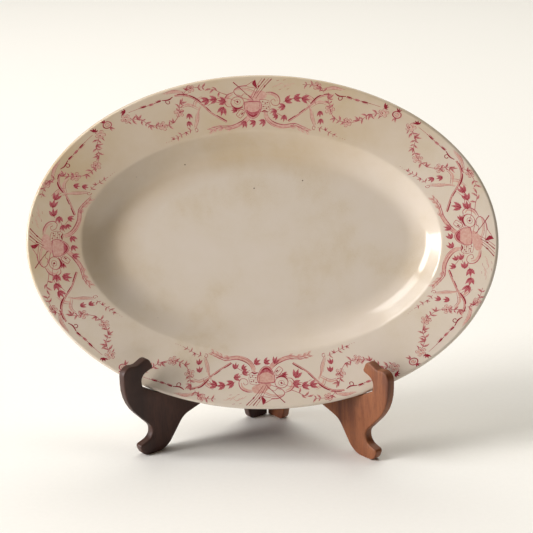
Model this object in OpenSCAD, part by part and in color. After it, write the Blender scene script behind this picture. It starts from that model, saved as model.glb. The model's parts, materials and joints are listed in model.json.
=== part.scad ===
// Oval serving platter resting on a folding wooden stand. Millimetres.
// +X to the viewer's right, +Y away from the viewer, +Z up. The origin lies on the
// surface that the stand's feet rest on, under the middle of the whole object.

/* [Platter] */
// Length over the rim
platter_l = 355; // [320:1:380]
// Width over the rim
platter_w = 250; // [240:1:256]
// Width of the flat rim, outer edge to shoulder
rim_w = 41; // [34:1:44]
// How far the shoulder lies below the outer edge
rim_fall = 8.5; // [4:0.5:10]
// Depth of the well below the outer edge
well_d = 21.5; // [18:0.5:22.5]
// Overall depth, outer edge to foot
platter_d = 28; // [27.5:0.5:30]
// Thickness of the outer edge
edge_t = 4.6; // [3.5:0.1:5]
// Angle by which the platter leans back
lean = 18; // [17:0.5:19]
// Height of the middle of the rim above the table
rim_z = 158; // [158:0.5:164]

/* [Stand] */
// Angle between one side and the middle plane
spread = 46; // [44:0.5:47]
// Thickness of a side
side_t = 7; // [5:0.5:7.5]
// Height of the uprights
stand_h = 168; // [160:1:170]
// Length of a side, hinge axis to the front of the arm
side_l = 135; // [132:1:138]
// Height of the saddle that the rim sits in
saddle_z = 49.6; // [46:0.1:49.8]

/* [Hinges] */
// Height of a hinge
hinge_h = 26; // [20:1:30]
// Width of a leaf, hinge axis to its far edge
leaf_w = 13; // [12:0.5:15]
// Thickness of a leaf
leaf_t = 1; // [0.8:0.1:1.2]
// Radius of a knuckle
knuckle_r = 2; // [1.8:0.1:2.4]
// Radius of a pin
pin_r = 0.9; // [0.7:0.1:1]
// Height of the middle of the upper hinge
upper_z = 132; // [120:1:136]
// Height of the middle of the lower hinge
lower_z = 62; // [50:1:80]

/* [Hidden] */
levels = ["upper", "lower"];
sides = ["left", "right"];
screw_n = 2; // screws in a leaf
function leaf_name(level, side) = str(level, "_", side, "_leaf");
function pin_name(level) = str(level, "_pin");
function screw_name(level, side, k) = str(level, "_", side, "_screw_", k);

// Clearances
fold_gap = 0.2;      // inner face of a side to the plane through the pins
rest_gap = 0.3;      // foot of the platter to the uprights
pin_gap = 0.05;      // pin to knuckle, radial
knuckle_gap = 0.2;   // between knuckles, along the pin
barrel_gap = 0.4;    // knuckle to wood
screw_gap = 0.02;    // screw to its hole, radial

// The pins stand behind the rim, and the object's depth is centred on the origin
side_back = 0.6;     // rear edge of a side, from the hinge axis
depth_front = side_l * cos(spread) - fold_gap * sin(spread);
depth_back = (side_t + fold_gap) * sin(spread) - side_back * cos(spread);
hinge_y = (depth_front - depth_back) / 2;
rim_back = 41.6;     // middle of the rim's plane to the pins
rim_y = hinge_y - rim_back;

/* Corners of an outline are [x, y, radius]; each is replaced by an arc that is
   tangent to both of its lines, with a point every step degrees. */
function flat(p) = [p[0], p[1]];
function unit(v) = v / norm(v);
function turn(a) = a > 180 ? a - 360 : a < -180 ? a + 360 : a;
function corner(before, p, after, step) =
    let (
        to_before = unit(flat(before) - flat(p)),
        to_after = unit(flat(after) - flat(p)),
        half = acos(to_before * to_after) / 2,
        reach = p[2] / tan(half),
        centre = flat(p) + unit(to_before + to_after) * p[2] / sin(half),
        first = flat(p) + to_before * reach - centre,
        last = flat(p) + to_after * reach - centre,
        a0 = atan2(first[1], first[0]),
        sweep = turn(atan2(last[1], last[0]) - a0),
        n = max(2, ceil(abs(sweep) / step))
    )
    [for (i = [0:n]) centre + p[2] * [cos(a0 + sweep * i / n), sin(a0 + sweep * i / n)]];
function closed_outline(pts, step) =
    let (n = len(pts))
    [for (i = [0:n - 1]) each corner(pts[(i + n - 1) % n], pts[i], pts[(i + 1) % n], step)];
function open_outline(pts, step) =
    let (n = len(pts))
    concat([flat(pts[0])],
           [for (i = [1:n - 2]) each corner(pts[i - 1], pts[i], pts[i + 1], step)],
           [flat(pts[n - 1])]);

// ---- Platter ----
// Section as [inset from the outer edge, height above it, radius], floor to base
foot_in = 57.5;      // inset of the foot's outer side
foot_w = 5;
foot_h = 0.8;        // foot above the base
floor_in = 78;       // inset where the floor and the base are flat
platter_section = [
    [floor_in, -well_d, 0],
    [rim_w + 17, -well_d, 30],
    [rim_w + 0.5, -rim_fall, 7],
    [0, 0, edge_t / 2 - 0.1],
    [0, -edge_t, edge_t / 2 - 0.1],
    [rim_w - 1.5, -rim_fall - edge_t - 0.6, 10],
    [foot_in, -platter_d, 2.5],
    [foot_in + foot_w, -platter_d, 1],
    [foot_in + foot_w + 1.5, -platter_d + foot_h, 1],
    [floor_in, -platter_d + foot_h, 0]
];
ring_n = 72;         // points round an oval
section_step = 15;   // degrees between points on the section's arcs

function oval(inset, h) = [for (i = [0:ring_n - 1]) let (a = 360 * i / ring_n)
    [(platter_l / 2 - inset) * cos(a), (platter_w / 2 - inset) * sin(a), h]];

module platter() {
    section = open_outline(platter_section, section_step);
    rings = len(section);
    points = [for (s = section) each oval(s[0], s[1])];
    walls = [for (r = [0:rings - 2]) for (i = [0:ring_n - 1])
        let (j = (i + 1) % ring_n, p = r * ring_n, q = p + ring_n)
        each [[p + i, p + j, q + j], [p + i, q + j, q + i]]];
    floor_face = [for (i = [ring_n - 1:-1:0]) i];
    base_face = [for (i = [0:ring_n - 1]) (rings - 1) * ring_n + i];
    color("antiquewhite")
    translate([0, rim_y, rim_z]) rotate([90 - lean, 0, 0])
        polyhedron(points, concat(walls, [floor_face, base_face]), convexity = 4);
}

// ---- Sides of the stand ----
// A side is drawn with x = distance from the hinge axis and y = height
function lean_x(z) = (rim_back - (z - rim_z) * tan(lean)
    - (platter_d + rest_gap) / cos(lean)) / cos(spread);
side_outline = [
    [side_back, 0, 1.5],               // rear foot
    [17, 0, 5],
    [22, 21, 12],                      // arch
    [42, 35, 18],
    [82, 22.7, 15],
    [98.5, 0, 16],                     // front foot
    [119.8, 0, 7],
    [123.4, 9.1, 2.2],
    [105, 15.2, 7.8],                  // ankle
    [side_l, 46.5, 39],                // belly of the arm
    [side_l, 76.4, 7],
    [123, 74.2, 7],
    [112.4, 79.4, 4.8],                // hook
    [108.3, 69.5, 1.8],
    [119.7, 65.3, 6.5],
    [118.4, saddle_z + 6.4, 4],        // saddle, rising under the edge of the platter
    [106.5, saddle_z - 0.2, 3],
    [100, saddle_z - 0.3, 4],
    [90, 66, 16],
    [70, 66, 10],
    [lean_x(86), 86, 9],               // upright
    [lean_x(stand_h), stand_h, 6],
    [side_back, stand_h, 5]
];

// Puts children drawn with x along the side, y through its thickness and z up
// onto the left or the right side
module on_side(side) {
    translate([0, hinge_y, 0])
        if (side == "left") mirror([1, 0, 0]) rotate([0, 0, spread - 90]) children();
        else rotate([0, 0, spread - 90]) children();
}

function level_z(level) = level == "upper" ? upper_z : lower_z;
head_t = 0.6;        // head of a pin
head_r = 1.5;
pocket_r = knuckle_r + barrel_gap;
pocket_h = hinge_h + 2 * (head_t + barrel_gap);

outline_step = 9;    // degrees between points on the outline's arcs

module side_board(side) {
    color("sienna") on_side(side) difference() {
        translate([0, fold_gap + side_t, 0]) rotate([90, 0, 0])
            linear_extrude(side_t) polygon(closed_outline(side_outline, outline_step));
        for (level = levels) translate([0, 0, level_z(level)]) {
            translate([0, 0, -pocket_h / 2]) cylinder(r = pocket_r, h = pocket_h, $fn = 48);
            translate([0, 0, -hinge_h / 2]) cube([leaf_w, fold_gap + leaf_t, hinge_h]);
            for (k = [1:screw_n]) at_screw(k) screw_solid(screw_gap);
        }
    }
}

module left_side() side_board("left");
module right_side() side_board("right");

// ---- Hinges ----
// A hinge has three knuckles: the left leaf carries the outer two
knuckle_h = hinge_h / 3;
function own_knuckles(side) = side == "left" ? [-1, 1] : [0];
function other_knuckles(side) = side == "left" ? [0] : [-1, 1];

module knuckle_span(k, grow) {
    h = knuckle_h + 2 * grow;
    translate([0, 0, k * knuckle_h - h / 2]) cylinder(r = knuckle_r + grow, h = h, $fn = 48);
}

module leaf(level, side) {
    color("goldenrod") on_side(side) translate([0, 0, level_z(level)]) difference() {
        union() {
            for (k = own_knuckles(side)) intersection() {
                knuckle_span(k, 0);
                translate([-10, -10, -hinge_h / 2]) cube([20, 20, hinge_h]);
            }
            translate([0, fold_gap, -hinge_h / 2]) cube([leaf_w, leaf_t, hinge_h]);
        }
        for (k = other_knuckles(side)) knuckle_span(k, knuckle_gap);
        translate([0, 0, -hinge_h]) cylinder(r = pin_r + pin_gap, h = 2 * hinge_h, $fn = 36);
        for (k = [1:screw_n]) at_screw(k) screw_solid(screw_gap);
    }
}

module pin(level) {
    color("darkgoldenrod") translate([0, hinge_y, level_z(level)]) {
        translate([0, 0, -hinge_h / 2]) cylinder(r = pin_r, h = hinge_h, $fn = 36);
        for (z = [-hinge_h / 2 - head_t, hinge_h / 2])
            translate([0, 0, z]) cylinder(r = head_r, h = head_t, $fn = 36);
    }
}

// ---- Screws ----
screw_x = 9;         // from the hinge axis
screw_pitch = 16;    // between the screws in a leaf
screw_head_r = 1.9;
screw_head_t = 1;
screw_r = 0.95;
screw_l = 5.5;
slot_w = 0.5;
slot_d = 0.4;

module at_screw(k) {
    translate([screw_x, fold_gap, (k - 1.5) * screw_pitch]) rotate([-90, 0, 0]) children();
}

module screw_solid(grow) {
    cylinder(r1 = screw_head_r + grow, r2 = screw_r + grow, h = screw_head_t, $fn = 36);
    cylinder(r = screw_r + grow, h = screw_l + grow, $fn = 36);
}

module screw(level, side, k) {
    color("gold") on_side(side) translate([0, 0, level_z(level)]) at_screw(k)
        difference() {
            screw_solid(0);
            translate([-slot_w / 2, -screw_head_r - 1, -1])
                cube([slot_w, 2 * screw_head_r + 2, 1 + slot_d]);
        }
}

platter();
left_side();
right_side();
for (l = levels) {
    pin(l);
    for (s = sides) {
        leaf(l, s);
        for (k = [1:screw_n])
            screw(l, s, k);
    }
}
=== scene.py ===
import bisect
import json
import math
import random

import bpy
from mathutils import Matrix, Vector


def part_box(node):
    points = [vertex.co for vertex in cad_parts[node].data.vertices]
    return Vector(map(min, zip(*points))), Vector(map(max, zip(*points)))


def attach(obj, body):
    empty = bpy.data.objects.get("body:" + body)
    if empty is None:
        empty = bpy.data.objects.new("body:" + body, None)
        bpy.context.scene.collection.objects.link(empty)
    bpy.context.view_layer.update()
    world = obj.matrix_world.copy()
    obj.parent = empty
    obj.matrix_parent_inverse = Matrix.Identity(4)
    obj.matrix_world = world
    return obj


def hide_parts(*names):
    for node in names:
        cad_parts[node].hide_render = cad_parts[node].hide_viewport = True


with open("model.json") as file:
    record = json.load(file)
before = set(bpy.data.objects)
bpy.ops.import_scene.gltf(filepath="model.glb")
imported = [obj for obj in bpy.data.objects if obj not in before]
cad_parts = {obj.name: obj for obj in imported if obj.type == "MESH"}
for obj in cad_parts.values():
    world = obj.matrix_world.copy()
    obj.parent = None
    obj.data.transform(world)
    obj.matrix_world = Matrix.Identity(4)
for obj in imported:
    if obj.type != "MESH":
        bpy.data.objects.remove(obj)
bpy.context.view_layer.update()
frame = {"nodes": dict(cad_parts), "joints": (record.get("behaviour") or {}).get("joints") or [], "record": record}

mm = 0.001
mergeDistance = 0.002 * mm      # corners closer than this are one corner
random.seed(14)


def toLinear(hexColour):
    # sRGB hex to the linear colour that the shaders take
    out = []
    for i in (1, 3, 5):
        c = int(hexColour[i:i + 2], 16) / 255
        out.append(c / 12.92 if c <= 0.04045 else ((c + 0.055) / 1.055) ** 2.4)
    return (*out, 1.0)


def addNode(material, kind, settings=None, links=None):
    # one node with its settings (inputs by name or number, else properties) and its incoming links
    tree = material.node_tree
    node = tree.nodes.new(kind)
    for name, value in (settings or {}).items():
        if isinstance(name, int) or name in node.inputs:
            node.inputs[name].default_value = value
        else:
            setattr(node, name, value)
    for name, source in (links or {}).items():
        tree.links.new(source, node.inputs[name])
    return node


def newMaterial(name):
    material = bpy.data.materials.new(name)
    material.use_nodes = True
    material.node_tree.nodes.clear()
    return material


def addRamp(material, source, stops):
    ramp = addNode(material, "ShaderNodeValToRGB", {}, {"Fac": source})
    elements = ramp.color_ramp.elements
    while len(elements) < len(stops):
        elements.new(0.5)
    for element, (place, colour) in zip(elements, stops):
        element.position = place
        element.color = toLinear(colour) if isinstance(colour, str) else (colour, colour, colour, 1)
    return ramp.outputs["Color"]


def mixColours(material, factor, first, second):
    # first and second are sockets or hex colours, factor a socket or a number
    settings = {"data_type": "RGBA"}
    links = {}
    for number, value in ((0, factor), (6, first), (7, second)):
        if isinstance(value, str):
            settings[number] = toLinear(value)
        elif isinstance(value, (int, float)):
            settings[number] = value
        else:
            links[number] = value
    return addNode(material, "ShaderNodeMix", settings, links).outputs[2]


def finishMaterial(material, shaderSettings, shaderLinks):
    shader = addNode(material, "ShaderNodeBsdfPrincipled", shaderSettings, shaderLinks)
    addNode(material, "ShaderNodeOutputMaterial", {}, {"Surface": shader.outputs[0]})
    return material


def deselectAll():
    if bpy.context.object and bpy.context.object.mode != "OBJECT":
        bpy.ops.object.mode_set(mode="OBJECT")
    bpy.ops.object.select_all(action="DESELECT")


def makeActive(obj):
    deselectAll()
    obj.select_set(True)
    bpy.context.view_layer.objects.active = obj


def dress(obj, material, body):
    obj.data.materials.clear()
    obj.data.materials.append(material)
    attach(obj, body)


glaze = {
    "clay": "#DBD0C6",           # cream body seen through clear lead glaze
    "warm": "#D7CBBC",
    "stain": "#C0A67E",          # tea-brown stain drawn into the body through the crazing, also the colour of the painted shade on the upper left of the well
    "pit": "#4A3526",
    "cloudMm": 55,
    "mottleMm": 7,
    "speckleMm": 1.6,
    "crazeMm": 6.5,
    "crazeWanderMm": 6.25,       # size of the wander in the craze lines
    "pitMm": 19,
    "rimCentreMm": (0, 2.8, 158),    # middle of the rim's plane, which leans back
    "leanDegrees": 18,
    "wellMm": (125.5, 73),       # half axes of the oval half way down the well's wall
    "stainAndShadeSide": (-0.6, 0.8, 0),     # the painted shade on the wall and rim, laid in the stain colour, is deepest on this side
    "roughness": 0.13,
    "ior": 1.52,
    "ripple": 0.12,
}


def makeGlaze(name, base=None):
    # white earthenware, dipped in a glossy glaze and gone cream: soft tea stains, fine crazing, pinholes, and
    # painted shade in the stain colour on the upper left of the well.
    # With base given it is the ink printed under the same glaze.
    material = newMaterial(name)
    place = addNode(material, "ShaderNodeTexCoord").outputs["Object"]
    clouds = addNode(material, "ShaderNodeTexNoise",
                     {"Scale": 1000 / glaze["cloudMm"], "Detail": 4.0, "Roughness": 0.6},
                     {"Vector": place}).outputs["Fac"]
    mottle = addNode(material, "ShaderNodeTexNoise",
                     {"Scale": 1000 / glaze["mottleMm"], "Detail": 5.0, "Roughness": 0.65},
                     {"Vector": place}).outputs["Fac"]
    if base:
        # hand-rubbed transfer: the ink takes unevenly
        speckle = addNode(material, "ShaderNodeTexNoise", {"Scale": 1000 / glaze["speckleMm"], "Detail": 2.0},
                          {"Vector": place}).outputs["Fac"]
        uneven = addRamp(material, speckle, [(0.35, 0.0), (0.7, 1.0)])
        colour = mixColours(material, uneven, base[0], base[1])
    else:
        cream = mixColours(material, addRamp(material, clouds, [(0.35, 0.0), (0.7, 1.0)]),
                           glaze["clay"], glaze["warm"])
        stainMask = addNode(material, "ShaderNodeMath", {"operation": "MULTIPLY"},
                            {0: addRamp(material, clouds, [(0.52, 0.0), (0.78, 0.4)]),
                             1: addRamp(material, mottle, [(0.38, 0.25), (0.68, 1.0)])}).outputs[0]
        stained = mixColours(material, stainMask, cream, glaze["stain"])
        # painted shade on the well's wall and the rim, on the upper left side only, laid in the tea-stain colour:
        # partly a stain, partly painted shade where the wall turns from the windows
        well = addNode(material, "ShaderNodeMapping",
                       {"vector_type": "TEXTURE", "Location": tuple(v * mm for v in glaze["rimCentreMm"]),
                        "Rotation": (math.radians(90 - glaze["leanDegrees"]), 0, 0),
                        "Scale": (glaze["wellMm"][0] * mm, glaze["wellMm"][1] * mm, 100)},
                       {"Vector": place}).outputs[0]
        reach = addNode(material, "ShaderNodeVectorMath", {"operation": "LENGTH"}, {0: well}).outputs["Value"]
        towards = addNode(material, "ShaderNodeVectorMath",
                          {"operation": "DOT_PRODUCT", 1: glaze["stainAndShadeSide"]}, {0: well}).outputs["Value"]
        paintedShadeBand = addNode(material, "ShaderNodeMath", {"operation": "MULTIPLY"},
                       {0: addRamp(material, reach, [(0.7, 0.0), (0.9, 0.62), (1.0, 0.58)]),
                        1: addRamp(material, towards, [(0.0, 0.15), (0.6, 1.0)])}).outputs[0]
        uneven = addNode(material, "ShaderNodeMath", {"operation": "MULTIPLY"},
                         {0: paintedShadeBand, 1: addRamp(material, clouds, [(0.3, 0.6), (0.6, 1.0)])}).outputs[0]
        stained = mixColours(material, uneven, stained, glaze["stain"])
        wander = addNode(material, "ShaderNodeTexNoise",
                         {"Scale": 1000 / glaze["crazeWanderMm"], "Detail": 2.0},
                         {"Vector": place}).outputs["Color"]
        warp = addNode(material, "ShaderNodeMixRGB", {"Fac": 0.06},
                       {"Color1": place, "Color2": wander}).outputs[0]
        craze = addNode(material, "ShaderNodeTexVoronoi",
                        {"feature": "DISTANCE_TO_EDGE", "Scale": 1000 / glaze["crazeMm"]},
                        {"Vector": warp}).outputs["Distance"]
        crazeMask = addNode(material, "ShaderNodeMath", {"operation": "MULTIPLY"},
                            {0: addRamp(material, craze, [(0.0, 0.30), (0.045, 0.0)]),
                             1: addRamp(material, clouds, [(0.45, 0.1), (0.65, 1.0)])}).outputs[0]
        crazed = mixColours(material, crazeMask, stained, glaze["stain"])
        cells = addNode(material, "ShaderNodeTexVoronoi", {"Scale": 1000 / glaze["pitMm"]}, {"Vector": place})
        dots = addRamp(material, cells.outputs["Distance"], [(0.02, 1.0), (0.036, 0.0)])
        some = addRamp(material, addNode(material, "ShaderNodeSeparateColor", {},
                       {"Color": cells.outputs["Color"]}).outputs[0], [(0.58, 0.0), (0.6, 0.9)])
        pits = addNode(material, "ShaderNodeMath", {"operation": "MULTIPLY"}, {0: dots, 1: some}).outputs[0]
        colour = mixColours(material, pits, crazed, glaze["pit"])
    ripple = addNode(material, "ShaderNodeBump", {"Strength": glaze["ripple"], "Distance": 0.0006},
                     {"Height": clouds}).outputs["Normal"]
    return finishMaterial(material,
                          {"Roughness": glaze["roughness"], "IOR": glaze["ior"]},
                          {"Base Color": colour, "Normal": ripple})


wood = {
    "right": ("#532B1B", "#7C472B", "#965E3B"),     # dark, middle and light of the grain
    "left": ("#2E1B17", "#40251D", "#4F3026"),      # the same wood, darkened as painted shade: this board's face is turned away from the windows
    "figureMm": (16, 16, 85),    # growth bands, long along the grain
    "poreMm": (0.9, 0.9, 7),     # drawn coarser than the real pores so that they show
    "wearMm": 24,
    "ior": 1.4,
    "coat": 0.08,
    "coatRoughness": 0.3,
}


def makeWood(name, dark, middle, light):
    # close-grained hardwood, stained red-brown and rubbed with thin varnish; the grain runs up the side.
    # It gives soft bands, short dark pores and a low sheen that is uneven where hands have rubbed it.
    material = newMaterial(name)
    place = addNode(material, "ShaderNodeTexCoord").outputs["Object"]
    figureSpace = addNode(material, "ShaderNodeMapping",
                          {"Scale": tuple(1000 / v for v in wood["figureMm"])}, {"Vector": place}).outputs[0]
    poreSpace = addNode(material, "ShaderNodeMapping",
                        {"Scale": tuple(1000 / v for v in wood["poreMm"])}, {"Vector": place}).outputs[0]
    figure = addNode(material, "ShaderNodeTexNoise", {"Scale": 1.0, "Detail": 3.0, "Distortion": 0.8},
                     {"Vector": figureSpace}).outputs["Fac"]
    pores = addNode(material, "ShaderNodeTexNoise", {"Scale": 1.0, "Detail": 3.0, "Roughness": 0.6},
                    {"Vector": poreSpace}).outputs["Fac"]
    wear = addNode(material, "ShaderNodeTexNoise", {"Scale": 1000 / wood["wearMm"], "Detail": 3.0},
                   {"Vector": place}).outputs["Fac"]
    body = addRamp(material, figure, [(0.3, dark), (0.5, middle), (0.74, light)])
    streaks = addRamp(material, pores, [(0.36, 0.4), (0.5, 0.0)])
    stained = mixColours(material, streaks, body, dark)
    colour = mixColours(material, addRamp(material, wear, [(0.45, 0.0), (0.75, 0.35)]), stained, light)
    sheen = addRamp(material, wear, [(0.3, 0.56), (0.7, 0.4)])
    bump = addNode(material, "ShaderNodeBump", {"Strength": 0.2, "Distance": 0.0003},
                   {"Height": pores}).outputs["Normal"]
    return finishMaterial(material,
                          {"IOR": wood["ior"], "Coat Weight": wood["coat"],
                           "Coat Roughness": wood["coatRoughness"]},
                          {"Base Color": colour, "Roughness": sheen, "Normal": bump})


brass = {
    "clean": "#C9A35A",
    "tarnish": "#6E5326",
    "screwClean": "#D6B46C",
    "grimeMm": 3,
}


def makeBrass(name, clean):
    # rolled or turned brass, handled and dulled: brown tarnish in patches, brighter where it is rubbed
    material = newMaterial(name)
    place = addNode(material, "ShaderNodeTexCoord").outputs["Object"]
    grime = addNode(material, "ShaderNodeTexNoise", {"Scale": 1000 / brass["grimeMm"], "Detail": 5.0},
                    {"Vector": place}).outputs["Fac"]
    mask = addRamp(material, grime, [(0.4, 0.0), (0.65, 0.8)])
    colour = mixColours(material, mask, clean, brass["tarnish"])
    dull = addRamp(material, grime, [(0.35, 0.28), (0.7, 0.55)])
    return finishMaterial(material, {"Metallic": 1.0}, {"Base Color": colour, "Roughness": dull})


glazedEarthenware = makeGlaze("glazed cream earthenware")
inks = {
    "dark": makeGlaze("rose ink, full", ("#8C2434", "#A23C4A")),
    "mid": makeGlaze("rose ink, half", ("#AE525C", "#C0787C")),
    "pale": makeGlaze("rose ink, wash", ("#CD9C92", "#D5B0A3")),
}
# the left board's darker copy of the wood is painted shade, not a deeper stain
boardWood = {"right": makeWood("stained hardwood, satin varnish", *wood["right"]),
             "left": makeWood("stained hardwood darkened for painted shade, satin varnish", *wood["left"])}
hingeBrass = makeBrass("tarnished rolled brass", brass["clean"])
screwBrass = makeBrass("turned brass screw", brass["screwClean"])
print("materials done")


platter = {
    "length": 355,               # mm
    "width": 250,
    "lean": 18,                  # degrees back from upright
    "segments": 288,
    "arcStep": 6,                # degrees
    # section as [inset from the outer edge, height, corner radius], base to floor
    "section": [
        [121, -27.2, 0], [64, -27.2, 1], [62.5, -28, 1], [57.5, -28, 2.5], [39.5, -13.7, 10],
        [0, -4.6, 2.2], [0, 0, 2.2], [41.5, -8.5, 7], [58, -21.5, 30], [80, -21.5, 0], [121, -21.5, 0],
    ],
}


def roundCorner(before, corner, after, step):
    # arc tangent to both lines of a corner [x, y, radius]
    here = Vector(corner[:2])
    toBefore = (Vector(before[:2]) - here).normalized()
    toAfter = (Vector(after[:2]) - here).normalized()
    if corner[2] == 0:
        return [here]
    half = toBefore.angle(toAfter) / 2
    centre = here + (toBefore + toAfter).normalized() * corner[2] / math.sin(half)
    first = here + toBefore * corner[2] / math.tan(half) - centre
    last = here + toAfter * corner[2] / math.tan(half) - centre
    start = math.atan2(first.y, first.x)
    sweep = (math.atan2(last.y, last.x) - start + math.pi) % (2 * math.pi) - math.pi
    count = max(2, math.ceil(abs(math.degrees(sweep)) / step))
    angles = [start + sweep * i / count for i in range(count + 1)]
    return [centre + corner[2] * Vector((math.cos(a), math.sin(a))) for a in angles]


def platterProfile():
    pts = platter["section"]
    out = [Vector(pts[0][:2])]
    for i in range(1, len(pts) - 1):
        out += roundCorner(pts[i - 1], pts[i], pts[i + 1], platter["arcStep"])
    return out + [Vector(pts[-1][:2])]


def placePlatter(obj):
    # leans the platter back and centres it on the CAD platter's own box
    low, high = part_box("platter")
    obj.rotation_euler = (math.radians(90 - platter["lean"]), 0, 0)
    makeActive(obj)
    bpy.ops.object.transform_apply(location=False, rotation=True, scale=False)
    ys = [v.co.y for v in obj.data.vertices]
    zs = [v.co.z for v in obj.data.vertices]
    shift = Vector(((low[0] + high[0]) / 2, (low[1] + high[1] - min(ys) - max(ys)) / 2,
                    (low[2] + high[2] - min(zs) - max(zs)) / 2))
    obj.location = shift
    bpy.ops.object.transform_apply(location=True, rotation=False, scale=False)
    turn = Matrix.Rotation(math.radians(90 - platter["lean"]), 4, "X")
    return Matrix.Translation(shift) @ turn


def buildPlatter():
    profile = platterProfile()
    halfLength = platter["length"] / 2
    halfWidth = platter["width"] / 2
    deselectAll()
    inset, height = profile[0]
    bpy.ops.mesh.primitive_circle_add(vertices=platter["segments"], radius=1, location=(0, 0, 0))
    obj = bpy.context.object
    obj.name = "platter_glazed"
    bpy.ops.object.mode_set(mode="EDIT")
    bpy.ops.mesh.select_all(action="SELECT")
    bpy.ops.transform.resize(value=((halfLength - inset) * mm, (halfWidth - inset) * mm, 1))
    bpy.ops.transform.translate(value=(0, 0, height * mm))
    for nextInset, nextHeight in profile[1:]:
        bpy.ops.mesh.extrude_edges_move()
        bpy.ops.transform.resize(value=((halfLength - nextInset) / (halfLength - inset),
                                        (halfWidth - nextInset) / (halfWidth - inset), 1))
        bpy.ops.transform.translate(value=(0, 0, (nextHeight - height) * mm))
        inset, height = nextInset, nextHeight
    bpy.ops.mesh.select_all(action="SELECT")
    bpy.ops.mesh.fill_holes(sides=0)
    bpy.ops.mesh.select_all(action="SELECT")
    bpy.ops.mesh.normals_make_consistent(inside=False)
    bpy.ops.object.mode_set(mode="OBJECT")
    place = placePlatter(obj)
    makeActive(obj)
    bpy.ops.object.shade_smooth_by_angle(angle=math.radians(40))
    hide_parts("platter")
    dress(obj, glazedEarthenware, "platter")
    return place


platterPlace = buildPlatter()
print("platter done")


# The printed ornament is drawn flat in millimetres: x runs clockwise along the rim, y in from the outer
# edge (0) to the shoulder (41).
# Each mark is a thin layer of ink on the glaze; darker ink lies over paler.

ornament = {
    "midInset": 20,              # where lengths along the rim are true
    "flatness": 0.008,           # a stroke's relief against its half width
    "lift": {"pale": 0.010, "mid": 0.022, "dark": 0.034},    # mm above the glaze
    "centreShift": -6,           # the trophy sits a little to one side of its group
    "cornerShare": 0.465,        # where the lone flowers stand, as a share of a quarter of the rim
}
strokes = {"pale": [], "mid": [], "dark": []}     # tone to open strokes: points and half widths
washes = {"pale": [], "mid": [], "dark": []}      # tone to closed outlines


def through(points, steps=5, closed=False):
    # smooth curve through the given points
    n = len(points)
    pts = [Vector(p) for p in points]
    if closed:
        pts = [pts[-1]] + pts + [pts[0], pts[1]]
    else:
        pts = [2 * pts[0] - pts[1]] + pts + [2 * pts[-1] - pts[-2]]
    out = []
    for i in range(1, n + 1 if closed else n):
        a, b, c, d = pts[i - 1:i + 3]
        for k in range(steps):
            t = k / steps
            out.append(0.5 * (2 * b + (c - a) * t + (2 * a - 5 * b + 4 * c - d) * t * t
                              + (3 * b - a - 3 * c + d) * t ** 3))
    return out if closed else out + [pts[-2]]


def stroke(tone, points, width, steps=5):
    # width is one number, or one for each point
    path = through(points, steps)
    if isinstance(width, (int, float)):
        width = [width] * len(points)
    halves = []
    for i in range(len(path)):
        f = i / steps
        k = min(int(f), len(width) - 2)
        halves.append(max(0.05, (width[k] + (width[k + 1] - width[k]) * (f - k)) / 2))
    strokes[tone].append((path, halves))


def wash(tone, points, steps=4):
    washes[tone].append(through(points, steps, closed=True))


def heading(angle):
    return Vector((math.cos(math.radians(angle)), math.sin(math.radians(angle))))


def sideOf(step):
    return Vector((-step.y, step.x)).normalized()


def leaf(tone, foot, angle, length, width, bend=0.08):
    foot = Vector(foot)
    stroke(tone, [foot, foot + heading(angle) * length * 0.5 + heading(angle + 90) * length * bend,
                  foot + heading(angle) * length], [0.2, width, 0.08], 3)


def veinedLeaf(foot, angle, length):
    # leaf with a pale body, one shaded side and a dark rib
    leaf("pale", foot, angle, length, length * 0.36)
    leaf("mid", Vector(foot) + heading(angle + 90) * length * 0.09, angle, length * 0.92, length * 0.2)
    leaf("dark", foot, angle, length * 0.55, 0.32, 0.02)


def fanLeaf(foot, angle, size):
    # half-open leaf of pointed lobes, shaded with dark ribs
    foot = Vector(foot)
    lobes = ((-84, 0.34), (-58, 0.62), (-36, 1.0), (-20, 0.6), (-2, 1.12),
             (15, 0.62), (31, 1.04), (52, 0.62), (80, 0.32))
    washes["mid"].append([foot - heading(angle) * size * 0.08]
                         + [foot + heading(angle + a) * size * r for a, r in lobes])
    for turn, share in ((-2, 0.9), (27, 0.78), (-31, 0.7)):
        leaf("dark", foot - heading(angle) * size * 0.1, angle + turn, size * share, size * 0.09, 0.05)


def rose(centre, radius, turn=20):
    # open flower: pale petals with darker rims round a dark heart set to one side
    centre = Vector(centre)
    for k in range(5):
        a = 72 * k + turn
        hub = centre + heading(a) * radius * 0.5
        stroke("pale", [hub - heading(a) * radius * 0.3, hub, hub + heading(a) * radius * 0.35],
               [radius * 0.2, radius * 0.46, radius * 0.3], 2)
        edge = ((-36, 0.5), (-18, 0.98), (14, 1.06), (36, 0.6))
        stroke("mid", [centre + heading(a + d) * radius * r for d, r in edge], [0.15, 0.42, 0.34, 0.12], 3)
    for r, a in ((0.62, 40), (0.42, 200)):
        stroke("mid", [centre + heading(turn + a + d) * radius * r for d in (0, 60, 120)],
               [0.12, 0.4, 0.12], 3)
    heart = centre + heading(turn + 100) * radius * 0.22
    stroke("dark", [heart - heading(turn) * 0.55, heart, heart + heading(turn + 30) * 0.5],
           [0.5, 1.0, 0.4], 2)


def sprig(foot, angle, size):
    # three leaves from one joint
    for turn, share in ((-48, 0.85), (4, 1.0), (52, 0.8)):
        veinedLeaf(foot, angle + turn, size * share)


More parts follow.
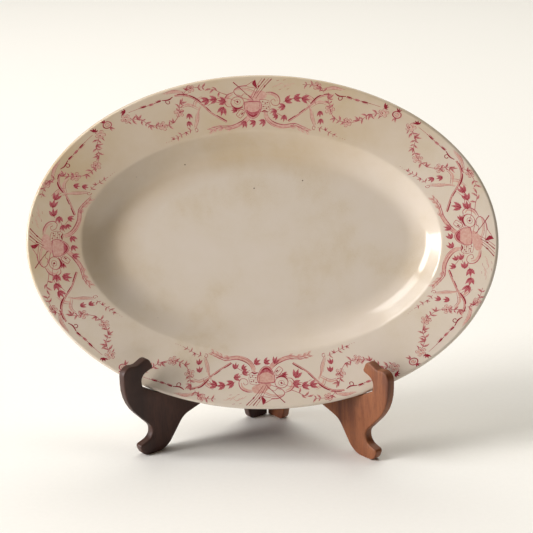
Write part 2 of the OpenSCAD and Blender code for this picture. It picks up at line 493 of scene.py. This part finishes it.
def vine(points, spacing, leafLength, stem=0.34, roses=(), roseSize=3.1):
    # stem with leaves in turn on both sides; roses are shares of its length
    path = through(points, 10)
    stroke("mid", points, stem, 8)
    total = sum((b - a).length for a, b in zip(path, path[1:]))
    done = 0
    nextLeaf = spacing * 0.5
    side = 1
    count = 0
    for i in range(len(path) - 1):
        step = path[i + 1] - path[i]
        done += step.length
        if done < nextLeaf:
            continue
        nextLeaf += spacing * (0.85 + 0.3 * random.random())
        if any(abs(done - share * total) < roseSize * 0.9 for share in roses):
            continue
        angle = math.degrees(math.atan2(step.y, step.x))
        size = leafLength * (0.85 + 0.3 * random.random())
        if count % 3 == 1:
            sprig(path[i], angle + side * 62, size)
        else:
            veinedLeaf(path[i], angle + side * (45 + 20 * random.random()), size)
            leaf("mid", path[i], angle - side * 55, size * 0.7, size * 0.24)
        side = -side
        count += 1
    for share in roses:
        rose(path[min(int(share * len(path)), len(path) - 1)], roseSize, 360 * share)


def curl(tone, centre, radius, start, turns, width):
    centre = Vector(centre)
    n = max(5, int(abs(turns) * 9))
    stroke(tone, [centre + heading(start + 360 * turns * i / n) * radius * (1 - 0.6 * i / n)
                  for i in range(n + 1)], [width] * n + [width * 1.6], 3)


def offsetPath(path, distance):
    last = len(path) - 1
    return [p + sideOf(path[min(i + 1, last)] - path[max(i - 1, 0)]) * distance for i, p in enumerate(path)]


def rod(points, sign):
    # turned rod: light middle, shaded underside and a broken dark upper edge
    path = through(points, 8)
    n = len(path)
    strokes["pale"].append((path, [0.62] * n))
    strokes["mid"].append((offsetPath(path, sign * 0.62), [0.14] * n))
    strokes["mid"].append((offsetPath(path, -sign * 0.25), [0.2 if i % 9 < 6 else 0.08 for i in range(n)]))
    edge = offsetPath(path, -sign * 0.6)
    for a, b, w in ((0.0, 0.24, 0.4), (0.31, 0.46, 0.3), (0.55, 0.78, 0.52), (0.82, 0.97, 0.36)):
        part = edge[int(a * n):int(b * n)]
        strokes["dark"].append((part, [0.14 + (w - 0.14) * math.sin(math.pi * (i + 0.5) / len(part)) ** 0.5
                                       for i in range(len(part))]))


def beadRod(points):
    # short turned lengths and beads in a row
    path = through(points, 9)
    strokes["mid"].append((path, [0.15] * len(path)))
    i = 0
    kind = 0
    while i + 8 < len(path):
        if kind % 2 == 0:
            length = 6
            strokes["dark"].append((path[i:i + length], [0.3, 0.55, 0.6, 0.55, 0.42, 0.14]))
            strokes["mid"].append((offsetPath(path[i:i + length], 0.85), [0.16] * length))
        else:
            length = 5
            for d, w in ((0.5, 0.26), (-0.45, 0.2)):
                strokes["mid"].append((offsetPath(path[i:i + length], d), [0.1, w, w * 1.4, w, 0.1]))
            strokes["pale"].append((path[i:i + length], [0.3, 0.8, 0.9, 0.8, 0.2]))
        bead = path[i + length]
        strokes["dark"].append(([bead, bead + Vector((0.4, 0))], [0.32, 0.3]))
        i += length + 1
        kind += 1


def acanthus(points, width, sign):
    # long curling leaf: pale body shaded along the back, ribs along its length, feathered tip
    path = through(points, 8)
    n = len(path)
    swell = [width * (0.35 + 0.65 * math.sin(math.pi * min(1, (i + 1) / n * 1.5)) ** 0.8
                      if i < n * 0.66 else 0.42) for i in range(n)]
    swell[-1] = 0.2
    strokes["pale"].append((path, [s * 0.46 for s in swell]))
    back = offsetPath(path, sign * width * 0.44)
    strokes["mid"].append((back, [0.08 + 0.26 * math.sin(math.pi * i / n) for i in range(n)]))
    for first, last, aside in ((0.06, 0.4, -0.4), (0.16, 0.5, -0.08), (0.46, 0.72, -0.24), (0.6, 0.86, 0.1)):
        part = offsetPath(path, sign * width * aside)[int(first * n):int(last * n)]
        halves = [0.06 + 0.14 * math.sin(math.pi * i / len(part)) for i in range(len(part))]
        strokes["mid"].append((part, halves))
    halves = [0.08 + 0.22 * math.sin(math.pi * i / (n * 0.3)) for i in range(int(n * 0.5) - n // 5)]
    strokes["dark"].append((back[n // 5:int(n * 0.5)], halves))
    for share in (0.62, 0.74, 0.85, 0.95):
        i = int(share * n)
        step = path[i] - path[i - 1]
        angle = math.degrees(math.atan2(step.y, step.x))
        for turn in (24, -21):
            leaf("pale", path[i - 1], angle + turn, 5.2, 1.3, 0.12 if turn > 0 else -0.12)
        leaf("mid", path[i - 1], angle + sign * 20, 4.6, 0.32, 0.1)
        leaf("mid", path[i - 1], angle - sign * 14, 4.2, 0.28, -0.05)


def drawSide(s):
    # what both halves of a group share; s is -1 for the left half and 1 for the right
    def at(*points):
        return [(s * x, y) for x, y in points]

    def aim(angle):
        return angle if s > 0 else 180 - angle

    if s < 0:      # the left half reaches further
        acanthus(at((8.5, 30), (12, 33), (16, 35.4), (25, 38), (36, 37.2), (44, 38.2)), 3.6, 1)
        rodPoints = at((28, 33.3), (34, 29), (39.5, 24), (43.5, 18), (48, 12.2), (53.5, 8.4), (60.5, 6.6))
        shift = 10
    else:
        acanthus(at((3, 27.5), (5.5, 32.5), (10.5, 36), (18.5, 37.6), (28, 36), (34, 37.2), (41, 38.8)),
                 3.6, -1)
        rodPoints = at((22.5, 33.2), (27, 29.8), (31, 26.3), (36.5, 20.5), (41, 13.4), (45, 10.4), (50, 8.8))
        shift = 0
    rod(rodPoints, s)
    # ribbon that winds round the rod and falls to the shoulder; it shifts out in the longer half
    for tone, points, width in (
            ("pale", ((37, 20), (43, 15.5), (49, 15.8)), (0.5, 1.7, 0.3)),
            ("mid", ((38, 21), (43.5, 16.8), (48.4, 16.8)), (0.2, 0.45, 0.2)),
            ("pale", ((44, 6.6), (50, 3.6), (57, 3.4)), (0.6, 1.8, 0.4)),
            ("mid", ((43, 5.8), (50, 2.6), (58, 2.9)), (0.2, 0.4, 0.15)),
            ("mid", ((46, 6.4), (51, 4.6), (55.5, 4.2)), (0.15, 0.25, 0.1)),
            ("pale", ((32, 12.5), (37, 15), (39.5, 18.6)), (0.4, 1.6, 0.6)),
            ("mid", ((32, 11.6), (38, 13.8), (41, 18)), (0.2, 0.4, 0.3)),
            ("pale", ((35.4, 18.4), (38.6, 23), (41, 28), (44.6, 33.5)), (0.4, 1.2, 1.6, 0.5)),
            ("mid", ((34.8, 19), (37.6, 22.5), (39.8, 28.4), (44, 34)), (0.15, 0.25, 0.4, 0.3)),
            ("mid", ((40.2, 23.5), (42.6, 28.4), (45.6, 33.4)), (0.2, 0.3, 0.2))):
        stroke(tone, at(*[(x + shift, y) for x, y in points]), width)
    curl("mid", (s * (44.6 + shift), 35.2), 1.8, 90 - s * 40, s * 0.95, 0.45)
    vine(at((47.5 + shift, 34.6), (53 + shift, 35.2), (59 + shift, 36.6), (66 + shift, 38)), 4.2, 3.4, 0.28)
    for k in range(3):
        stroke("mid", at((68 + 2.2 * k + shift, 38.2), (68.5 + 2.2 * k + shift, 38.3)), 0.4, 2)
    # long beaded rod to the end flowers, with its loop
    stroke("dark", at((52 + shift, 7.2), (55.5 + shift, 8.4), (60 + shift, 7.4)), [0.5, 1.1, 0.5])
    curl("dark", (s * (56.4 + shift), 10), 2.0, -90 - s * 20, s * 0.9, 0.55)
    beadRod(at((60.5 + shift, 7.3), (68 + shift, 7.6), (76 + shift, 6.9), (84.5 + shift, 6.2)))
    rose((s * (88.5 + shift), 9.4), 3.3, 40)
    for a in (-100, -62, -28, 8):
        leaf("dark", (s * (86.4 + shift), 5.2), aim(a), 3.4, 1.3)
    leaf("mid", (s * (88 + shift), 12), aim(100), 3.2, 1.0)
    # garland that hangs from the end flowers back to the rod
    vine(at((86 + shift, 11), (80 + shift, 15.2), (76.5 + shift, 21), (69 + shift, 25.4), (60 + shift, 25.8),
            (53.5 + shift, 21.5), (50 + shift, 15), (47.5 + shift, 10.5)), 3.5, 4.7, 0.42, (0.44, 0.76), 3.4)
    # flower spray at the outer edge
    vine(at((44.5 + shift, 8.5), (42 + shift, 5.4), (36 + shift, 4.4), (29 + shift, 5.2)),
         3.1, 3.9, 0.34, (0.52,), 2.7)
    # fan leaves on a twig between the rod and the trophy
    stroke("mid", at((17, 19.5), (24, 16), (32, 15.4), (38 + shift * 0.6, 18)), 0.34)
    for x, y, a in ((18.4, 18.4, -20), (24.6, 15.8, -8), (30.4, 15.2, 6)):
        fanLeaf((s * (x + shift * 0.8), y), aim(a), 5.6)
    for x, y, a in ((45.5 + shift, 22.5, 75), (48 + shift, 28, 82)):
        fanLeaf((s * x, y), aim(a), 4.3)


def drawTrophy():
    # instruments of no particular make, tied together: drum, horn, two pipes, tambourine and a music sheet
    c = ornament["centreShift"]

    def at(*points):
        return [(x + c, y) for x, y in points]

    def ring(x, y, rx, ry, count=10):
        return at(*[(x + rx * math.cos(2 * math.pi * k / count), y + ry * math.sin(2 * math.pi * k / count))
                    for k in range(count)])

    # cloth behind, in soft folds
    wash("pale", at((-4, 18.5), (0, 13.4), (5, 11.6), (9.2, 12.6), (10.4, 16), (6, 18.6), (1, 19.6)))
    stroke("mid", at((1, 17.4), (4, 14), (7.6, 13.4)), [0.15, 0.3, 0.12])
    stroke("mid", at((4, 17.8), (6.4, 15.6), (9.6, 15.4)), [0.12, 0.26, 0.12])
    # drum
    wash("pale", at((-5.6, 20), (5.6, 20), (6.6, 24), (3.6, 29.6), (0, 31.6), (-3.8, 30), (-6.2, 25)))
    wash("mid", at((-5.4, 25.4), (-2, 27.2), (2.4, 27), (5.8, 24.8), (3.4, 29.4), (0, 31.2), (-3.6, 29.7)))
    stroke("dark", at((-4.4, 27.8), (-0.5, 30.4), (3.4, 28.6)), [0.4, 1.1, 0.4])
    stroke("mid", at((-6.2, 19.8), (0, 19.4), (6, 19.8)), [0.6, 0.9, 0.6])
    stroke("mid", at((-6.2, 20), (-6.4, 25), (-3.8, 30.2), (0, 32), (4, 29.8), (6.8, 24), (6, 20)), 0.55)
    for k in range(5):
        stroke("mid", at((-4.6 + 2.3 * k, 22.2), (-4.2 + 2.1 * k, 24.6)), [0.2, 0.3], 2)
    # horn: tube, looped back, and dark bell
    stroke("mid", at((-3.4, 7.8), (-9, 8.2), (-13, 11), (-11.4, 14.4), (-5, 17.4), (1.2, 18.6)),
           [0.9, 0.7, 0.65, 0.55, 0.4, 0.3])
    stroke("pale", at((-12.4, 10.4), (-8, 10.2), (-2.6, 11.2), (2.6, 14)), [0.6, 1.0, 0.9, 0.6])
    stroke("mid", at((-12.4, 9.6), (-8, 9.2), (-2.2, 10.2), (3, 13)), 0.3)
    stroke("mid", at((-10.8, 14), (-8, 15.2), (-6, 13.6), (-2.4, 15.2), (0, 17)), [0.2, 0.6, 0.3, 0.5, 0.2])
    stroke("mid", at((2.4, 3.8), (-3.6, 7.4)), 0.4, 2)
    stroke("mid", at((-3.4, 8.6), (3.2, 9.8)), 0.4, 2)
    wash("dark", at((0.2, 6.6), (2.0, 4.2), (3.0, 9.4)), 3)
    stroke("dark", at((2.2, 3.6), (3.4, 10)), 0.55, 2)
    stroke("dark", at((-12.8, 4.6), (-6, 12), (0.4, 18.6)), [0.7, 0.42, 0.4])
    # pipes
    for x in (0, 4.6):
        stroke("mid", at((7 + x, 2.6), (2.8 + x * 0.8, 9), (-1.2 + x * 0.5, 16.8)), 0.35)
        stroke("dark", at((9 + x, 2.8), (4.6 + x * 0.8, 9.2), (0 + x * 0.5, 17.4)), [0.7, 0.42, 0.3])
        stroke("dark", at((5.2 + x * 0.9, 7.6), (4.2 + x * 0.9, 9.2)), 0.9, 2)
    # tambourine with a shaded side
    stroke("mid", ring(-11.4, 19.6, 4.9, 4.1) + at((-6.5, 19.6)), 0.5, 3)
    stroke("mid", ring(-11.4, 19.2, 2.2, 1.9) + at((-9.2, 19.2)), 0.3, 3)
    stroke("dark", at((-12, 19.4), (-10.8, 19)), 1.5, 2)
    stroke("dark", at((-16.2, 21.6), (-12.6, 24.4), (-7.4, 23.2)), [0.3, 1.5, 0.4])
    stroke("mid", at((-16.8, 19.4), (-14.4, 25.4), (-6.4, 24.6)), [0.2, 0.5, 0.3])
    # music sheet with notes
    stroke("mid", at((5.2, 18.2), (12, 18.8), (12.8, 26.4), (6, 26.8), (5.2, 18.2)), 0.36, 2)
    for k in range(4):
        stroke("mid", at((6.2 + 0.2 * k, 20 + 1.6 * k), (11.8 + 0.2 * k, 20.4 + 1.6 * k)), 0.22, 2)
    for x, y in ((7.2, 19.6), (9.2, 20.8), (10.9, 20.2), (7.8, 23.2), (10.2, 24.4), (11.6, 23.4)):
        stroke("dark", at((x, y), (x + 0.7, y + 0.3)), [1.1, 0.7], 2)
    stroke("dark", at((6.6, 27.2), (9, 26.4), (11.6, 27.4)), [0.4, 1.2, 0.4])
    # folded book with a clasp
    stroke("mid", at((-13.6, 28.8), (-10.6, 31.4), (-6.6, 27.4), (-9.4, 24.8), (-13.6, 28.8)), 0.5, 2)
    stroke("dark", at((-12.6, 26), (-15.4, 24.8)), [1.6, 0.4], 2)
    stroke("dark", at((-9.4, 28.8), (-7.6, 27.2)), [1.2, 0.5], 2)
    stroke("mid", at((-11.8, 29.6), (-8, 26)), 0.3, 2)
    # scrolls that frame it
    stroke("mid", at((9.8, 12.8), (14.2, 12.8), (18.6, 15), (20.4, 19), (18.8, 22), (15.2, 21.8), (13.6, 19),
                     (15.8, 17.6), (17, 19.2)), [0.4, 0.9, 0.8, 0.6, 0.5, 0.45, 0.4, 0.35, 0.6])
    stroke("pale", at((9.8, 14), (14, 14), (17.4, 16), (18.6, 19)), [0.5, 1.6, 1.4, 0.6])
    stroke("mid", at((-13.6, 12), (-18.4, 13.8), (-21, 18), (-19.6, 21.8), (-16.6, 22.6)),
           [0.4, 0.9, 0.8, 0.6, 0.4])
    stroke("pale", at((-14, 13.4), (-17.6, 15), (-19.4, 18.4), (-17.6, 21)), [0.5, 1.5, 1.3, 0.5])
    stroke("mid", at((-20.6, 17.6), (-24, 18.6), (-28.6, 17.6), (-34, 19.4)), [0.3, 0.5, 0.35, 0.3])
    stroke("mid", at((-18.4, 13.4), (-22.4, 11.4), (-26.4, 8.6), (-30, 7.4)), [0.5, 0.4, 0.35, 0.3])
    for x, y, a in ((-25, 9.4, 225), (-29, 7.6, 170), (-27, 8.4, 140), (-23.2, 10.8, 110)):
        veinedLeaf((x + c, y), a, 4.4)
    # fan leaves round the foot and at the sides
    for x, y, a, size in ((-7, 34, 120, 5.2), (1.4, 34.6, 160, 5.0), (9.4, 33.8, 150, 5.2),
                          (-22.6, 22.4, 120, 6.4), (-13.4, 25.6, 190, 3.6), (24.5, 22.4, 170, 5.0),
                          (18.4, 26.6, 175, 4.6), (19.4, 29.4, 150, 4.2), (25, 29, 95, 4.6)):
        fanLeaf((x + c, y), a, size)
    stroke("mid", at((13, 25), (18, 27.4), (25, 30.6)), 0.4)
    stroke("mid", at((13, 28.6), (19, 25.4), (24.6, 21.6)), 0.35)
    # faint grasses behind
    for k in range(6):
        x = 14 + 2.2 * k
        stroke("pale", at((x, 9.6 - (k % 3)), (x + 2.2, 7.6 - (k % 3)), (x + 4.6, 7.2 - (k % 2) * 2)),
               [0.3, 0.42, 0.2], 3)
    for x, y in ((17, 4.2), (21.5, 3.4), (24.5, 9.8), (19, 10.6)):
        stroke("mid", at((x, y), (x + 1.6, y - 0.7)), [0.3, 0.2], 2)


def drawSpacer():
    # ringed flower that stands alone between two groups
    ring = [(2.9 * math.cos(math.pi * k / 4), 6.4 + 2.5 * math.sin(math.pi * k / 4)) for k in range(9)]
    stroke("mid", ring, 0.85, 3)
    stroke("dark", ring[2:6], [0.2, 0.7, 0.7, 0.2], 3)
    stroke("pale", [(-0.7, 6.4), (0.9, 6.4)], 2.0, 2)
    stroke("mid", [(0.5 * x, 6.4 + 0.5 * (y - 6.4)) for x, y in ring], 0.3, 3)
    for a in (-130, -95, -62):
        leaf("dark", (-0.8, 4.2), a, 3.2, 1.0)
    for a in (62, 105):
        veinedLeaf((0.8, 8.8), a, 3.8)


profileFront = [(p.x, p.y) for p in platterProfile()]
profileFront = profileFront[max(i for i, p in enumerate(profileFront) if p[0] <= 0.01):]
frontInsets = [p[0] for p in profileFront]


def frontHeight(inset):
    k = min(max(bisect.bisect_left(frontInsets, inset), 1), len(profileFront) - 1)
    (x0, y0), (x1, y1) = profileFront[k - 1], profileFront[k]
    return y0 + (y1 - y0) * (inset - x0) / max(x1 - x0, 1e-6)


def rimLengths():
    # distance along the rim, clockwise from the top, at each angle
    a = platter["length"] / 2 - ornament["midInset"]
    b = platter["width"] / 2 - ornament["midInset"]
    angles = [math.radians(90 - 0.5 * i) for i in range(-360, 1081)]     # half a turn before, a turn and a half on
    lengths = [0.0]
    for t0, t1 in zip(angles, angles[1:]):
        step = math.hypot(a * (math.cos(t1) - math.cos(t0)), b * (math.sin(t1) - math.sin(t0)))
        lengths.append(lengths[-1] + step)
    start = lengths[360]
    return angles, [v - start for v in lengths]


rimAngles, rimDistances = rimLengths()
rimQuarter = rimDistances[360 + 180]


def onRim(x, y, lift):
    k = min(max(bisect.bisect_left(rimDistances, x), 1), len(rimDistances) - 1)
    f = (x - rimDistances[k - 1]) / (rimDistances[k] - rimDistances[k - 1])
    t = rimAngles[k - 1] + (rimAngles[k] - rimAngles[k - 1]) * f
    local = Vector(((platter["length"] / 2 - y) * math.cos(t), (platter["width"] / 2 - y) * math.sin(t),
                    frontHeight(y) + lift))
    return platterPlace @ (local * mm)


def addCurve(name, kind):
    data = bpy.data.curves.new(name, "CURVE")
    data.dimensions = kind
    obj = bpy.data.objects.new(name, data)
    bpy.context.scene.collection.objects.link(obj)
    return obj


def addPolyline(obj, path, halves=None, cyclic=False):
    spline = obj.data.splines.new("POLY")
    spline.points.add(len(path) - 1)
    spline.use_cyclic_u = cyclic
    for i, point in enumerate(spline.points):
        point.co = (path[i][0], path[i][1], 0, 1)
        if halves:
            point.radius = halves[i]


def inkMesh(name, tone):
    # the flat drawing of one tone as thin closed shapes, in millimetres
    lines = addCurve(name + "_lines", "3D")
    lines.data.bevel_depth = 1.0
    lines.data.bevel_resolution = 0
    lines.data.use_fill_caps = True
    for path, halves in strokes[tone]:
        addPolyline(lines, path, halves)
    parts = [lines]
    for outline in washes[tone]:
        flat = addCurve(name + "_wash", "2D")
        flat.data.fill_mode = "BOTH"
        flat.data.extrude = 0.3
        addPolyline(flat, outline, cyclic=True)
        parts.append(flat)
    makeActive(lines)
    for part in parts:
        part.select_set(True)
    bpy.ops.object.convert(target="MESH")
    if len(parts) > 1:
        bpy.ops.object.join()
    obj = bpy.context.object
    obj.name = name
    bpy.ops.object.mode_set(mode="EDIT")
    bpy.ops.mesh.select_all(action="SELECT")
    bpy.ops.mesh.remove_doubles(threshold=0.0001)
    bpy.ops.object.mode_set(mode="OBJECT")
    bpy.ops.object.shade_flat()      # a flat film of ink, with no rounding at its sides
    return obj


def layPrint(pattern, group, tone, start):
    piece = pattern.copy()
    piece.data = pattern.data.copy()
    piece.name = "print_%s_%s" % (group, tone)
    bpy.context.scene.collection.objects.link(piece)
    for v in piece.data.vertices:
        v.co = onRim(start + v.co.x, v.co.y, ornament["lift"][tone] + v.co.z * ornament["flatness"])
    makeActive(piece)
    bpy.ops.object.mode_set(mode="EDIT")
    bpy.ops.mesh.select_all(action="SELECT")
    bpy.ops.mesh.normals_make_consistent(inside=False)
    bpy.ops.object.mode_set(mode="OBJECT")
    dress(piece, inks[tone], "platter")


def printAll(groups, firstShare):
    for tone in strokes:
        pattern = inkMesh("pattern", tone)
        for number, group in enumerate(groups):
            layPrint(pattern, group, tone, (number + firstShare) * rimQuarter)
        bpy.data.objects.remove(pattern)
        strokes[tone].clear()
        washes[tone].clear()


drawTrophy()
drawSide(-1)
drawSide(1)
printAll(["top", "right", "bottom", "left"], 0)
drawSpacer()
printAll(["corner_1", "corner_2", "corner_3", "corner_4"], ornament["cornerShare"])
print("printed ornament done")


sideBoard = {
    "spread": 46,                # degrees from the middle plane
    "gap": 0.2,                  # inner face from the pins' plane
    "thickness": 7,
    "roundOver": 1.1,            # rounded arris
    "pocketReach": 13.3,         # nothing is rounded this close to the pins on the inner face,
    "pocketLow": 30,             # except below and above the hinge pockets
    "pocketHigh": 160,
    "endClear": 1.2,             # the straight back edge by the pins stays sharp
    "tolerance": 0.02,
}
hingeAxis = Vector(next(j for j in frame["joints"] if j["name"] == "left_fold")["pos_m"])


def copyOfNode(node, name):
    obj = bpy.data.objects.new(name, frame["nodes"][node].data.copy())
    bpy.context.scene.collection.objects.link(obj)
    makeActive(obj)
    bpy.ops.object.mode_set(mode="EDIT")
    bpy.ops.mesh.select_all(action="SELECT")
    bpy.ops.mesh.remove_doubles(threshold=mergeDistance)
    bpy.ops.mesh.dissolve_limited(angle_limit=math.radians(1.5))
    bpy.ops.object.mode_set(mode="OBJECT")
    return obj


def roundSideEdges(obj, s):
    # selects the arrises of both faces by place, leaving the hinge pockets sharp, and rounds them over
    angle = math.radians(sideBoard["spread"])
    inner = sideBoard["gap"] * mm
    outer = (sideBoard["gap"] + sideBoard["thickness"]) * mm

    def along(co):
        return s * co.x * math.sin(angle) - (co.y - hingeAxis.y) * math.cos(angle)

    def across(co):
        return s * co.x * math.cos(angle) + (co.y - hingeAxis.y) * math.sin(angle)

    makeActive(obj)
    bpy.ops.object.mode_set(mode="EDIT")
    bpy.ops.mesh.select_mode(type="EDGE")
    bpy.ops.mesh.select_all(action="DESELECT")
    bpy.ops.object.mode_set(mode="OBJECT")
    mesh = obj.data
    facesOf = {}
    for face in mesh.polygons:
        for key in face.edge_keys:
            facesOf.setdefault(key, []).append(face.normal)
    for edge in mesh.edges:
        ends = [mesh.vertices[i].co for i in edge.vertices]
        normals = facesOf.get(edge.key, [])
        if len(normals) != 2 or normals[0].dot(normals[1]) > 0.5:
            continue
        onOuter = all(abs(across(c) - outer) < sideBoard["tolerance"] * mm for c in ends)
        onInner = all(abs(across(c) - inner) < sideBoard["tolerance"] * mm for c in ends)
        nearPins = any(along(c) < sideBoard["pocketReach"] * mm for c in ends)
        clearOfPockets = (any(c.z < sideBoard["pocketLow"] * mm for c in ends)
                          or all(c.z > sideBoard["pocketHigh"] * mm for c in ends))
        clearOfBack = min(along(c) for c in ends) > sideBoard["endClear"] * mm
        if onOuter or (onInner and (not nearPins or (clearOfPockets and clearOfBack))):
            edge.select = True
    bpy.ops.object.mode_set(mode="EDIT")
    bpy.ops.mesh.bevel(offset=sideBoard["roundOver"] * mm, segments=4, profile=0.5, affect="EDGES",
                       clamp_overlap=False)
    bpy.ops.mesh.select_all(action="SELECT")
    bpy.ops.mesh.remove_doubles(threshold=mergeDistance)
    bpy.ops.object.mode_set(mode="OBJECT")
    bpy.ops.object.shade_smooth_by_angle(angle=math.radians(35))


for side, s in (("left", -1), ("right", 1)):
    board = copyOfNode(side + "_side", side + "_side_rounded")
    roundSideEdges(board, s)
    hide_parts(side + "_side")
    dress(board, boardWood[side], side + "_half")
print("wooden sides done")


hardware = {"leafRound": 0.15, "screwRound": 0.08, "pinRound": 0.25}


def softenedBrass(node, width, material, body):
    piece = copyOfNode(node, node + "_finished")
    makeActive(piece)
    bevel = piece.modifiers.new("soft edge", "BEVEL")
    bevel.width = width * mm
    bevel.segments = 2
    bevel.limit_method = "ANGLE"
    bevel.angle_limit = math.radians(50)
    bpy.ops.object.modifier_apply(modifier=bevel.name)
    bpy.ops.object.shade_smooth_by_angle(angle=math.radians(40))
    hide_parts(node)
    dress(piece, material, body)


for body, nodes in frame["record"]["behaviour"]["bodies"].items():
    for node in nodes:
        if node.endswith("_leaf"):
            softenedBrass(node, hardware["leafRound"], hingeBrass, body)
        elif node.endswith("_pin"):
            softenedBrass(node, hardware["pinRound"], hingeBrass, body)
        elif "_screw_" in node:
            softenedBrass(node, hardware["screwRound"], screwBrass, body)
print("hinges and screws done")


stageSet = {
    "floorSize": 12,
    "roomColour": "#FFEAC4",
    "roomStrength": 0.06,
    # directions in degrees, from the viewer round to the left and up from level; distance and size in metres
    "windows": [
        {"name": "tall_window", "turn": 68, "rise": 14, "distance": 4.0, "size": (0.95, 2.5), "watts": 132,
         "colour": "#FFFAF2"},
        {"name": "side_window", "turn": 88, "rise": 6, "distance": 4.0, "size": (0.9, 2.0), "watts": 54,
         "colour": "#F2F6FF"},
        {"name": "high_window", "turn": 68, "rise": 48, "distance": 4.0, "size": (1.6, 1.6), "watts": 50,
         "colour": "#FFFBF6"},
        {"name": "overhead", "turn": 180, "rise": 64, "distance": 3.5, "size": (3.4, 3.4), "watts": 98,
         "colour": "#FFFBF0"},
    ],
}


def buildStage():
    deselectAll()
    bpy.ops.mesh.primitive_plane_add(size=stageSet["floorSize"], location=(0, 0, 0))
    floor = bpy.context.object
    floor.name = "floor"
    plain = newMaterial("plain pale floor")
    place = addNode(plain, "ShaderNodeTexCoord").outputs["Object"]
    grain = addNode(plain, "ShaderNodeTexNoise", {"Scale": 300.0}, {"Vector": place}).outputs["Fac"]
    colour = addRamp(plain, grain, [(0.0, "#FAFAFA"), (1.0, "#FFFFFF")])
    finishMaterial(plain, {"Roughness": 0.9}, {"Base Color": colour})
    floor.data.materials.append(plain)
    world = bpy.data.worlds.new("soft room")
    bpy.context.scene.world = world
    world.use_nodes = True
    background = world.node_tree.nodes["Background"]
    background.inputs[0].default_value = toLinear(stageSet["roomColour"])
    background.inputs[1].default_value = stageSet["roomStrength"]


def addWindow(window):
    turn = math.radians(window["turn"])
    rise = math.radians(window["rise"])
    towards = Vector((-math.sin(turn) * math.cos(rise), -math.cos(turn) * math.cos(rise), math.sin(rise)))
    deselectAll()
    bpy.ops.object.light_add(type="AREA", location=Vector((0, 0, 0.15)) + towards * window["distance"])
    lamp = bpy.context.object
    lamp.name = window["name"]
    lamp.data.shape = "RECTANGLE"
    lamp.data.size, lamp.data.size_y = window["size"]
    lamp.data.energy = window["watts"]
    lamp.data.color = toLinear(window["colour"])[:3]
    lamp.rotation_euler = (-towards).to_track_quat("-Z", "Y").to_euler()


# azimuth, elevation and roll in degrees, seen from the middle of the rim; focal and centre in the frame's units
view = {"azimuth": 5.64, "elevation": 18, "roll": -1.24, "distance": 1.2, "focal": 1607,
        "centre": (258.9, 242.2), "frameSide": 533, "sensorMm": 36}


def placeCamera():
    frameSide = view["frameSide"]
    az = math.radians(view["azimuth"])
    el = math.radians(view["elevation"])
    roll = math.radians(view["roll"])
    target = platterPlace @ Vector((0, 0, 0))
    back = Vector((math.sin(az) * math.cos(el), -math.cos(az) * math.cos(el), math.sin(el)))
    right = Vector((math.cos(az), math.sin(az), 0))
    up = back.cross(right)
    across = right * math.cos(roll) + up * math.sin(roll)
    upward = up * math.cos(roll) - right * math.sin(roll)
    data = bpy.data.cameras.new("camera")
    camera = bpy.data.objects.new("camera", data)
    bpy.context.scene.collection.objects.link(camera)
    place = target + back * view["distance"]
    camera.matrix_world = Matrix((
        (across.x, upward.x, back.x, place.x),
        (across.y, upward.y, back.y, place.y),
        (across.z, upward.z, back.z, place.z),
        (0, 0, 0, 1)))
    data.sensor_width = view["sensorMm"]
    data.lens = view["sensorMm"] * view["focal"] / frameSide
    data.shift_x = (frameSide / 2 - view["centre"][0]) / frameSide
    data.shift_y = (view["centre"][1] - frameSide / 2) / frameSide
    bpy.context.scene.camera = camera


buildStage()
for window in stageSet["windows"]:
    addWindow(window)
placeCamera()
bpy.context.scene.view_settings.view_transform = "Standard"
print("stage done")
